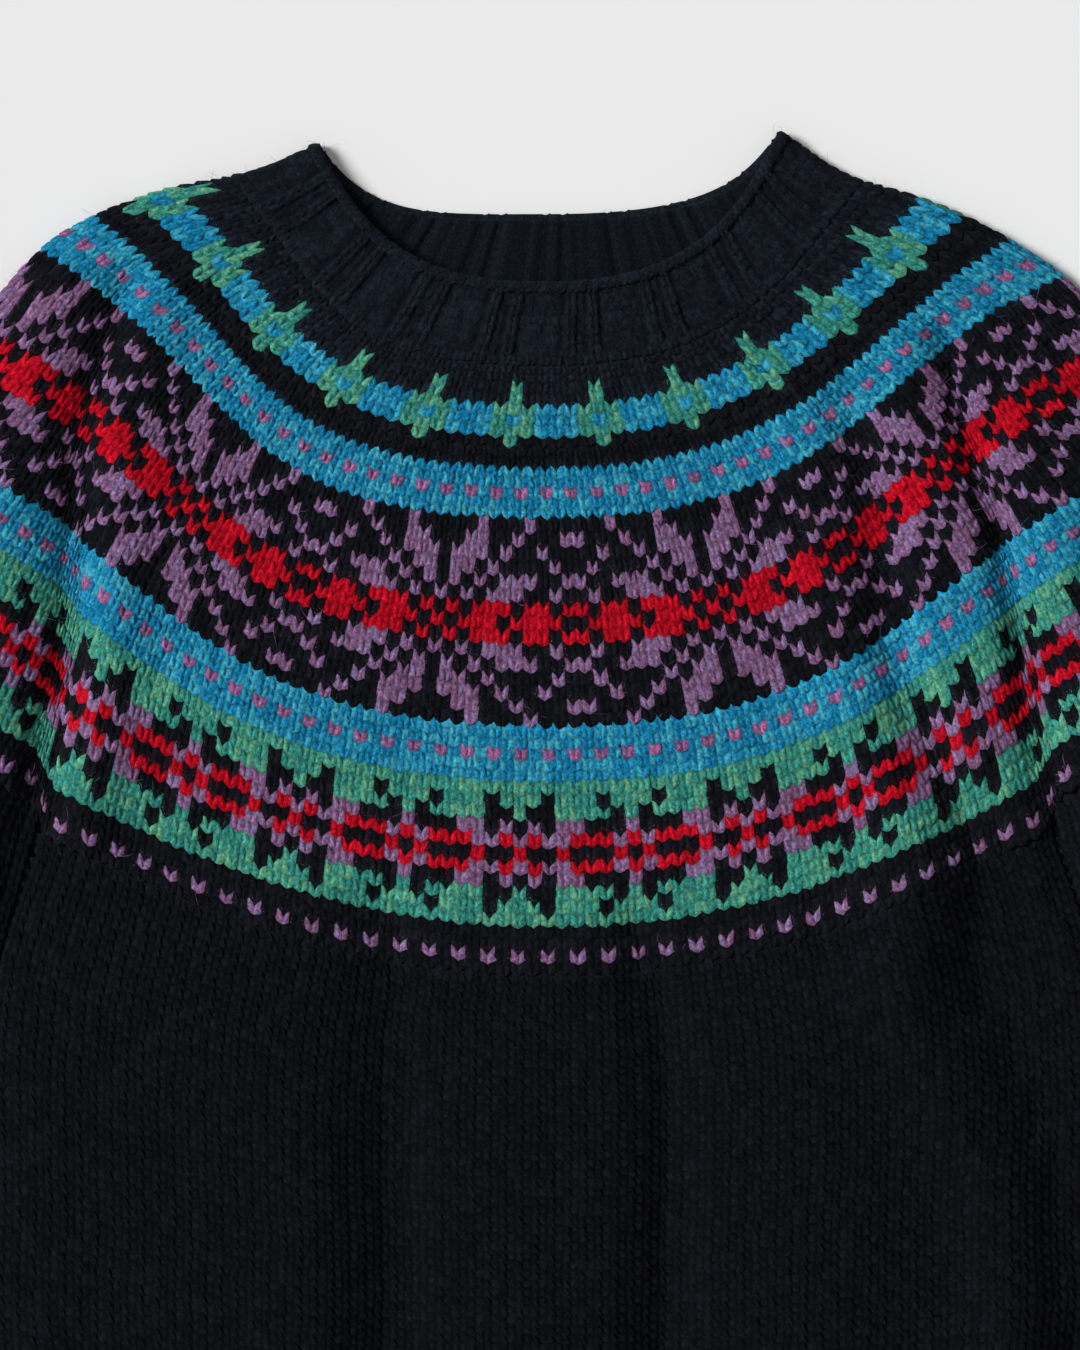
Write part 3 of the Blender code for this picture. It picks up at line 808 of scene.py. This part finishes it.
class Value:
    """A socket that does sums: each operation adds one Math node to the material."""

    __add__ = sums("ADD")
    __radd__ = sums("ADD", swapped=True)
    __sub__ = sums("SUBTRACT")
    __rsub__ = sums("SUBTRACT", swapped=True)
    __mul__ = sums("MULTIPLY")
    __rmul__ = sums("MULTIPLY", swapped=True)

    def __init__(self, graph, socket):
        self.graph = graph
        self.socket = socket


class Graph:
    """The nodes of one material."""

    def __init__(self, name):
        self.material = bpy.data.materials.new(name)
        self.material.use_nodes = True
        self.tree = self.material.node_tree
        self.shader = self.tree.nodes["Principled BSDF"]

    def node(self, kind, settings=None, inputs=None):
        """Add a node: its settings first, then its sockets by identifier. Gives back its outputs."""
        made = self.tree.nodes.new(kind)
        for name, value in (settings or {}).items():
            if name == "stops":
                self.set_stops(made.color_ramp, value)
            else:
                setattr(made, name, value)
        for name, value in (inputs or {}).items():
            self.feed(next(s for s in made.inputs if s.identifier == name), value)
        return {socket.identifier: Value(self, socket) for socket in made.outputs}

    def set_stops(self, ramp, stops):
        """Give a colour ramp flat steps, as (position, colour)."""
        ramp.interpolation = "CONSTANT"
        while len(ramp.elements) < len(stops):
            ramp.elements.new(1.0)
        for element, (position, colour) in zip(ramp.elements, stops):
            element.position = position
            element.color = (*colour, 1.0)

    def feed(self, socket, value):
        """Link a value to a socket, or set the socket to a number."""
        if isinstance(value, Value):
            self.tree.links.new(value.socket, socket)
        else:
            socket.default_value = value

    def attribute(self, name):
        return self.node("ShaderNodeAttribute", {"attribute_name": name})["Fac"]

    def noise(self, place, scale, detail=2.0):
        inputs = {"Vector": place, "Scale": scale, "Detail": detail}
        return self.node("ShaderNodeTexNoise", {}, inputs)["Fac"]

    def scaled(self, colour, amount):
        inputs = {"Vector": colour, "Scale": amount}
        return self.node("ShaderNodeVectorMath", {"operation": "SCALE"}, inputs)["Vector"]

    def mixed(self, amount, first, second):
        inputs = {"Factor_Float": amount, "A_Color": first, "B_Color": second}
        return self.node("ShaderNodeMix", {"data_type": "RGBA"}, inputs)["Result_Color"]

    def step(self, value, low, high):
        inputs = {"Value": value, "From Min": low, "From Max": high}
        return self.node("ShaderNodeMapRange", {"interpolation_type": "SMOOTHSTEP"}, inputs)["Result"]


STRANDS = (8.0, 2.4, 1.0)  # streaks to a stitch across and down it


def wool(name, yarns, flecks, uneven):
    """Wool spun from mixed fleece.

    Each leg of a stitch has its own tone. Streaks along the legs carry the yarn's second colour, fine
    grains lighten and darken it, and painted shade darkens it into the hollows between the legs and on
    the inner face. Where two yarns meet, fibres of each stray over the other.
    """
    graph = Graph(name)
    place = graph.node("ShaderNodeTexCoord")["Object"]
    stitches = graph.node("ShaderNodeUVMap", {"uv_map": "Stitches"})["UV"]
    strands = graph.node("ShaderNodeMapping", {}, {"Vector": stitches, "Scale": STRANDS})["Vector"]
    own = (graph.attribute("yarn") + 0.5) * (1 / len(yarns))
    beside = (graph.attribute("beside") + 0.5) * (1 / len(yarns))

    def by_yarn(colours, number):
        stops = [(index / len(colours), colour) for index, colour in enumerate(colours)]
        return graph.node("ShaderNodeValToRGB", {"stops": stops}, {"Fac": number})["Color"]

    tone = graph.attribute("tone")
    hollow = graph.attribute("hollow")
    streak = graph.noise(strands, 1.0, 2.0)
    grain = graph.noise(place, 800.0, 2.0)
    cloud = graph.noise(place, 14.0)
    second = graph.step(streak + 0.3 * tone, 0.62, 0.78)
    colour = graph.mixed(0.85 * second, by_yarn(yarns, own), by_yarn(flecks, own))
    fine_streak = graph.noise(strands, 3.0, 3.0)
    colour = graph.mixed(graph.step(fine_streak, 0.60, 0.70), colour, by_yarn(yarns, beside))
    # Painted shade: the colour is darkened by up to 0.6 in the hollows between the legs and on the inner
    # face
    shade = (1 - uneven + 2 * uneven * tone) * (0.85 + 0.3 * cloud) * (1 - 0.6 * hollow)
    shade = shade * (0.7 + 0.75 * graph.step(grain, 0.3, 0.72))
    shade = shade * (1.25 - 0.5 * graph.step(streak, 0.3, 0.5))
    graph.feed(graph.shader.inputs["Base Color"], graph.scaled(colour, shade))
    fibres = fine_streak + 0.6 * graph.noise(place, 1500.0, 2.0)
    bump = graph.node("ShaderNodeBump", {}, {"Strength": 0.4, "Distance": 0.0004, "Height": fibres})
    graph.feed(graph.shader.inputs["Normal"], bump["Normal"])
    graph.shader.inputs["Roughness"].default_value = 0.95
    graph.shader.inputs["Specular IOR Level"].default_value = 0.03
    graph.shader.inputs["Sheen Weight"].default_value = 0.012
    graph.shader.inputs["Sheen Roughness"].default_value = 0.6
    return graph.material


KNITTED = []  # the names of the pieces that hairs stand on


def join_frame(knitted, node, material):
    """Give a piece its wool, hang it from the root, hide the solid it dresses, and list it among the
    pieces that hairs stand on.
    """
    piece, flat = knitted
    piece.data.materials.append(material)
    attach(piece, "root")
    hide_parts(node)
    KNITTED.append(piece.name)


def material_once(name, yarns, flecks, uneven):
    """The wool of this name, made the first time it is asked for."""
    return bpy.data.materials.get(name) or wool(name, yarns, flecks, uneven)


# The second colour of each mixed yarn, in the order of YARNS
FLECKS = {
    "blue": (0.062, 0.40, 0.49),
    "green": (0.13, 0.37, 0.20),
    "lilac": (0.215, 0.155, 0.315),
    "red": (0.59, 0.006, 0.021),
    "pink": (0.40, 0.13, 0.30),
}


def lighter(colour):
    """The second colour of a plain yarn."""
    return tuple(1.6 * part for part in colour)


def yarn_colour(name, description, default):
    """The property that holds a yarn's colour."""
    return FloatVectorProperty(
        name=name, description=description, subtype="COLOR", size=3, min=0, max=1, default=default)


class JumperYarns(bpy.types.PropertyGroup):
    """Colours of the yarns."""

    navy: yarn_colour("Navy", "Ground of the yoke and all of the body", (0.0061, 0.0066, 0.0099))
    rib_navy: yarn_colour("Rib navy", "Neckband, hem and cuffs", (0.0078, 0.0111, 0.0170))
    blue: yarn_colour("Blue", "Pip bands", (0.010, 0.262, 0.510))
    green: yarn_colour("Green", "Crosses and the outer rows of the arches", (0.045, 0.330, 0.270))
    lilac: yarn_colour("Lilac", "Points of the stars, the arches and the dots", (0.280, 0.135, 0.275))
    red: yarn_colour("Red", "Middle of the stars and of the arches", (0.560, 0.004, 0.018))
    pink: yarn_colour("Pink", "Pips", (0.300, 0.125, 0.290))

    def chart_yarns(self):
        """The yarns in the order of YARNS."""
        colours = (self.navy, self.blue, self.green, self.lilac, self.red, self.pink, self.rib_navy)
        return [tuple(colour) for colour in colours]

    def chart_flecks(self):
        """Their second colours in the same order."""
        return [lighter(self.navy), *FLECKS.values(), lighter(self.rib_navy)]


class JumperWool(bpy.types.PropertyGroup):
    """Finish of the wool."""

    hairs: IntProperty(name="Hairs", description="Stray hairs that stand off the wool", min=0, max=9900,
                       default=9000)


class JumperStudio(bpy.types.PropertyGroup):
    """Floor, light and camera."""

    floor: FloatProperty(name="Floor", description="How pale the floor is", subtype="FACTOR",
                         min=0, max=1, default=0.79)
    key: FloatProperty(name="Key light", description="Strength of the soft light from the left",
                       min=0, default=3.95)
    around: FloatProperty(name="Light around", description="Strength of the even light",
                          min=0, default=0.30)
    height: FloatProperty(name="Camera height", description="Above the floor", subtype="DISTANCE",
                          unit="LENGTH", min=0.5, default=3.0)


def chart_wool(context):
    """The wool of every charted piece, and of the hairs."""
    yarns = context.scene.jumper_yarns
    return material_once("patterned wool", yarns.chart_yarns(), yarns.chart_flecks(), 0.2)


def plain_wool(name, colour):
    """Wool of one yarn. It is given twice, because a ramp has two stops."""
    return material_once(name, [tuple(colour)] * 2, [lighter(colour)] * 2, 0.1)


def navy_wool(context):
    return plain_wool("navy wool", context.scene.jumper_yarns.navy)


def rib_wool(context):
    return plain_wool("navy rib wool", context.scene.jumper_yarns.rib_navy)


NECK_STITCHES = 119
NECK_TURN = 0.27
NECK_FIRST_KNIT = 3
RIB_REPEAT = 7
NECK_ROWS = 8  # the last of them is plain, and lies over the yoke's edge
NECK_ROW = 4.26
YOKE_ROW = 4.0  # beyond either end of a band
BODY_STITCHES = 144
BODY_ROWS = 46
HEM_STITCHES = 147
HEM_ROWS = 14
SLEEVE_STITCHES = 44
SLEEVE_ROWS = 76
CUFF_STITCHES = 42
CUFF_REPEAT = 6
CUFF_ROWS = 14

# Bands of the yoke from the neck down: the name, stitches round, turn, and the drop at each chart's
# foot, the chart, and the stitch that its centre stands on
BANDS = (
    ("yoke_crosses", 132, -0.45, (
        (105.4, ("N",) * 2, 0),
        (133.9, mirrored(CROSS_ROWS, False), 31),
    )),
    ("yoke_pips", 184, -0.13, ((141.5, ("K",) * 2, 0), (163.6, PIP_ROWS, 46))),
    ("yoke_stars", 210, 0.0, ((252.0, both_ways(mirrored(STAR_ROWS, True)), 44),)),
    ("yoke_arches", 240, -0.35, (
        (274.6, PIP_ROWS, 58),
        (336.6, both_ways(mirrored(ARCH_ROWS, False)), 58),
        (346.4, ("K",) * 2, 0),
        (351.9, DOT_ROWS, 58),
        (YOKE_END, ("K",), 0),
    )),
)


def plain_piece(name, line_at, rows, stitches, **shape):
    """Knit a piece of one yarn."""
    return knit_piece(name, line_at, np.zeros((rows, stitches), int), **shape)


def rib_piece(name, line_at, rows, stitches, repeat, first, **shape):
    """Knit a piece of broad rib. All but two stitches in each repeat are purled, one of them between."""
    place = (np.arange(stitches) - first) % repeat
    purls = (place != 0) & (place != 2)
    return plain_piece(name, line_at, rows, stitches, purls=purls, **shape)


class JUMPER_OT_neck_rib(bpy.types.Operator):
    """Knit the neckband, in broad rib with a rolled edge"""

    bl_idname = "jumper.neck_rib"
    bl_label = "Neckband"

    def execute(self, context):
        piece = rib_piece(
            "neck_rib", lambda row: yoke_line(NECK_EDGE + row * NECK_ROW), NECK_ROWS, NECK_STITCHES,
            RIB_REPEAT, NECK_FIRST_KNIT, turn=NECK_TURN, fine=True, ribbed=NECK_ROWS - 1, top="rolled",
            inside="rib", seed=11)
        join_frame(piece, "neckband", rib_wool(context))
        return {"FINISHED"}


class JUMPER_OT_yoke(bpy.types.Operator):
    """Knit the yoke, band by band from its charts"""

    bl_idname = "jumper.yoke"
    bl_label = "Yoke"

    def execute(self, context):
        start = NECK_EDGE + NECK_ROWS * NECK_ROW
        for number, (name, stitches, turn, charts) in enumerate(BANDS):
            edges, yarns = [start], []
            for foot, chart, centre in charts:
                edges += list(np.linspace(edges[-1], foot, len(chart) + 1)[1:])
                yarns.append(charted(chart, stitches, centre))
            numbers = np.arange(len(edges))

            def line_at(row, edges=edges, numbers=numbers):
                inside = np.clip(row, 0, len(edges) - 1)
                return yoke_line(np.interp(inside, numbers, edges) + (row - inside) * YOKE_ROW)

            chart_rows = np.concatenate(yarns)
            piece = knit_piece(name, line_at, chart_rows, turn=turn, fine=True, seed=20 + number)
            join_frame(piece, "yoke", chart_wool(context))
            start = edges[-1]
        return {"FINISHED"}


class JUMPER_OT_body(bpy.types.Operator):
    """Knit the plain body from the yoke down to the hem"""

    bl_idname = "jumper.body"
    bl_label = "Body"

    def execute(self, context):
        piece = plain_piece(
            "body_knit", lambda row: body_line(row / BODY_ROWS), BODY_ROWS, BODY_STITCHES, seed=31)
        join_frame(piece, "body", navy_wool(context))
        return {"FINISHED"}


class JUMPER_OT_hem_rib(bpy.types.Operator):
    """Knit the hem in broad rib"""

    bl_idname = "jumper.hem_rib"
    bl_label = "Hem"

    def execute(self, context):
        deep = (HEM_SIDE - HEM_SEAM_SIDE) / (HEM_SEAM_SIDE - UNDERARM_DROP)
        piece = rib_piece(
            "hem_rib", lambda row: body_line(1 + row / HEM_ROWS * deep), HEM_ROWS, HEM_STITCHES,
            RIB_REPEAT, 0, foot="edge", seed=41)
        join_frame(piece, "hem_band", rib_wool(context))
        return {"FINISHED"}


class JUMPER_OT_sleeves(bpy.types.Operator):
    """Knit both sleeves from the yoke down to the cuffs"""

    bl_idname = "jumper.sleeves"
    bl_label = "Sleeves"

    def execute(self, context):
        step = (SLEEVE_LENGTH - CUFF_LENGTH) / SLEEVE_ROWS
        for number, side in enumerate(("left", "right")):
            piece = plain_piece(
                "sleeve_%s_knit" % side, lambda row, side=side: sleeve_line(side, row * step),
                SLEEVE_ROWS, SLEEVE_STITCHES, seed=51 + number)
            join_frame(piece, "sleeve_" + side, navy_wool(context))
        return {"FINISHED"}


class JUMPER_OT_cuffs(bpy.types.Operator):
    """Knit both cuffs in broad rib"""

    bl_idname = "jumper.cuffs"
    bl_label = "Cuffs"

    def execute(self, context):
        start = SLEEVE_LENGTH - CUFF_LENGTH
        for number, side in enumerate(("left", "right")):
            piece = rib_piece(
                "cuff_%s_rib" % side,
                lambda row, side=side: sleeve_line(side, start + row * CUFF_LENGTH / CUFF_ROWS),
                CUFF_ROWS, CUFF_STITCHES, CUFF_REPEAT, 0, foot="edge", seed=61 + number)
            join_frame(piece, "cuff_" + side, rib_wool(context))
        return {"FINISHED"}


HAIR_SIDES = 3
HAIR_RADIUS = 0.00005
HAIR_TAPER = (0.2, 1.0, 0.9, 0.2)  # share of the radius at each point along a hair
HAIR_ROOT = 0.0003  # how deep a hair starts
HAIR_LONGEST = 0.008
HAIR_RISE = 0.3  # how steeply a hair may stand
OUTLINE_HAIRS = 5.0  # how many times as many hairs stand along the outline


def hair_mesh(name, starts, ways, ups, lengths, heights, curls, yarns, rng):
    """Fine curved hairs, each a three-sided tube along an arc.

    The middle of a hair is start + t length way + (height sin(pi t)^0.7 - root) up + curl
    sin(1.6 pi t) side for t from 0 to 1.
    """
    count = len(starts)
    along = len(HAIR_TAPER)
    t = np.linspace(0, 1, along)[None, :, None]
    side = np.cross(ways, ups)
    middle = starts[:, None] + t * (lengths[:, None] * ways)[:, None]
    middle = middle + (np.sin(np.pi * t) ** 0.7 * heights[:, None, None] - HAIR_ROOT) * ups[:, None]
    middle = middle + np.sin(2 * np.pi * t * 0.8) * (curls[:, None] * side)[:, None]
    turn = (np.arange(HAIR_SIDES) * 2 * np.pi / HAIR_SIDES)[:, None]
    ring = np.cos(turn) * side[:, None, None] + np.sin(turn) * ups[:, None, None]
    taper = HAIR_RADIUS * np.array(HAIR_TAPER)[:, None, None]
    points = (middle[:, :, None] + taper * ring).reshape(-1, 3)
    points[:, 2] = np.maximum(points[:, 2], 0.0)
    step, corner = np.indices((along - 1, HAIR_SIDES)).reshape(2, -1) * [[HAIR_SIDES], [1]]
    a = step + corner
    b = step + (corner + 1) % HAIR_SIDES
    one = np.stack([a, b, b + HAIR_SIDES, a + HAIR_SIDES], axis=1)
    size = along * HAIR_SIDES
    offsets = np.arange(count)[:, None, None] * size
    quads = (one + offsets).reshape(-1, 4)
    caps = (np.array([[2, 1, 0], [size - 3, size - 2, size - 1]]) + offsets).reshape(-1, 3)
    mesh = bpy.data.meshes.new(name)
    mesh.from_pydata(points.tolist(), [], quads.tolist() + caps.tolist())
    hair_of_face = np.append(np.repeat(np.arange(count), len(one)), np.repeat(np.arange(count), 2))
    for title, values in (("yarn", yarns), ("beside", yarns), ("tone", rng.uniform(0, 1, count))):
        add_values(mesh, title, "FACE", values[hair_of_face])
    add_values(mesh, "hollow", "POINT", np.zeros(len(points)))

    # Both maps give each hair a small cell of its own
    hair, within = np.divmod(np.concatenate([quads.ravel(), caps.ravel()]), size)
    wide = int(np.ceil(np.sqrt(count)))
    u = (hair % wide + 0.1 + 0.8 * (within // HAIR_SIDES) / (along - 1)) / wide
    v = (hair // wide + 0.1 + 0.35 * (within % HAIR_SIDES)) / wide
    for title in ("Stitches", "OFBake"):
        add_map(mesh, title, u, v)
    mesh.validate()
    return shown(name, mesh)


def read_values(found, title, size):
    """One property of all the items of a list, as rows of numbers."""
    values = np.empty(len(found) * size, np.float32)
    found.foreach_get(title, values)
    return values.reshape(-1, size)


class JUMPER_OT_stray_hairs(bpy.types.Operator):
    """Raise fine hairs from the wool, more of them along its outline"""

    bl_idname = "jumper.stray_hairs"
    bl_label = "Stray hairs"

    def execute(self, context):
        rng = np.random.default_rng(71)
        count = context.scene.jumper_wool.hairs
        meshes = [bpy.data.objects[name].data for name in KNITTED]
        centres = np.concatenate([read_values(mesh.polygons, "center", 3) for mesh in meshes])
        normals = np.concatenate([read_values(mesh.polygons, "normal", 3) for mesh in meshes])
        yarns = np.concatenate([read_values(mesh.attributes["yarn"].data, "value", 1) for mesh in meshes])
        facing = normals[:, 2]
        weight = np.where(facing > 0.5, 1.0, np.where(facing > -0.3, OUTLINE_HAIRS, 0.0))
        weight = weight * np.where(centres[:, 2] > 0.002, 1, 0)
        picked = rng.choice(len(weight), count, p=weight / weight.sum())
        ups = normals[picked]
        ways = np.cross(ups, rng.normal(size=ups.shape))
        ways = ways / np.linalg.norm(ways, axis=1, keepdims=True) + 0.3 * ups
        ways[:, 2] = np.clip(ways[:, 2], -HAIR_RISE, HAIR_RISE)
        ways = ways / np.linalg.norm(ways, axis=1, keepdims=True)
        lengths = np.minimum(rng.gamma(3.0, 0.0011, count) + 0.001, HAIR_LONGEST)
        heights = rng.uniform(0.0003, 0.0013, count)
        curls = rng.uniform(-0.0006, 0.0006, count)
        piece = hair_mesh(
            "stray_hairs", centres[picked], ways, ups, lengths, heights, curls, yarns[picked, 0], rng)
        piece.data.materials.append(chart_wool(context))
        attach(piece, "root")
        return {"FINISHED"}


# The camera looks straight down at the middle of the frame
FRAME_HEIGHT = 0.57375
FRAME_X = CENTRE_X - 0.00276
FRAME_Y = TOP_Y - 0.2299
FLOOR_HALF = 2.5
FLOOR_DROP = 0.0001
LIGHT_PLACE = (-3.8, 1.3, 2.9)
LIGHT_SPREAD = 24  # degrees


class JUMPER_OT_stage(bpy.types.Operator):
    """Lay the floor, and set up the light and the camera"""

    bl_idname = "jumper.stage"
    bl_label = "Stage"

    def execute(self, context):
        studio = context.scene.jumper_studio
        mesh = bpy.data.meshes.new("floor")
        ways = ((-1, -1), (1, -1), (1, 1), (-1, 1))
        corners = [(x * FLOOR_HALF, y * FLOOR_HALF, -FLOOR_DROP) for x, y in ways]
        mesh.from_pydata(corners, [], [(0, 1, 2, 3)])
        floor = shown("floor", mesh)
        graph = Graph("floor paint")
        graph.shader.inputs["Base Color"].default_value = (studio.floor, studio.floor, studio.floor, 1)
        graph.shader.inputs["Roughness"].default_value = 0.9
        graph.shader.inputs["Specular IOR Level"].default_value = 0.1
        mesh.materials.append(graph.material)

        light = bpy.data.lights.new("key light", "SUN")
        light.angle = np.radians(LIGHT_SPREAD)
        light.energy = studio.key
        lamp = shown("key light", light)
        lamp.location = LIGHT_PLACE
        aim = Vector((FRAME_X, FRAME_Y, 0)) - lamp.location
        lamp.rotation_euler = aim.to_track_quat("-Z", "Y").to_euler()

        world = bpy.data.worlds.new("studio")
        world.use_nodes = True
        sky = world.node_tree.nodes["Background"]
        sky.inputs["Color"].default_value = (1, 1, 1, 1)
        sky.inputs["Strength"].default_value = studio.around
        context.scene.world = world
        context.scene.view_settings.view_transform = "Standard"

        camera = bpy.data.cameras.new("camera")
        camera.lens = camera.sensor_width * studio.height / FRAME_HEIGHT
        camera.clip_end = 20.0
        eye = shown("camera", camera)
        eye.location = (FRAME_X, FRAME_Y, studio.height)
        context.scene.camera = eye
        return {"FINISHED"}


class JUMPER_PT_pieces(bpy.types.Panel):
    """The jumper's pieces and stage"""

    bl_idname = "JUMPER_PT_pieces"
    bl_label = "Fair isle jumper"
    bl_space_type = "VIEW_3D"
    bl_region_type = "UI"
    bl_category = "Jumper"

    def draw(self, context):
        for made in OPERATORS:
            self.layout.operator(made.bl_idname)
        scene = context.scene
        for settings in (scene.jumper_yarns, scene.jumper_wool, scene.jumper_studio):
            box = self.layout.box()
            for name in settings.__annotations__:
                box.prop(settings, name)


OPERATORS = (
    JUMPER_OT_neck_rib,
    JUMPER_OT_yoke,
    JUMPER_OT_body,
    JUMPER_OT_hem_rib,
    JUMPER_OT_sleeves,
    JUMPER_OT_cuffs,
    JUMPER_OT_stray_hairs,
    JUMPER_OT_stage,
)
CLASSES = (JumperYarns, JumperWool, JumperStudio, *OPERATORS, JUMPER_PT_pieces)


def register():
    for made in CLASSES:
        bpy.utils.register_class(made)
    bpy.types.Scene.jumper_yarns = PointerProperty(type=JumperYarns)
    bpy.types.Scene.jumper_wool = PointerProperty(type=JumperWool)
    bpy.types.Scene.jumper_studio = PointerProperty(type=JumperStudio)


def unregister():
    del bpy.types.Scene.jumper_yarns
    del bpy.types.Scene.jumper_wool
    del bpy.types.Scene.jumper_studio
    for made in reversed(CLASSES):
        bpy.utils.unregister_class(made)


def main():
    register()
    for made in OPERATORS:
        group, name = made.bl_idname.split(".")
        getattr(getattr(bpy.ops, group), name)()


if __name__ == "__main__":
    main()
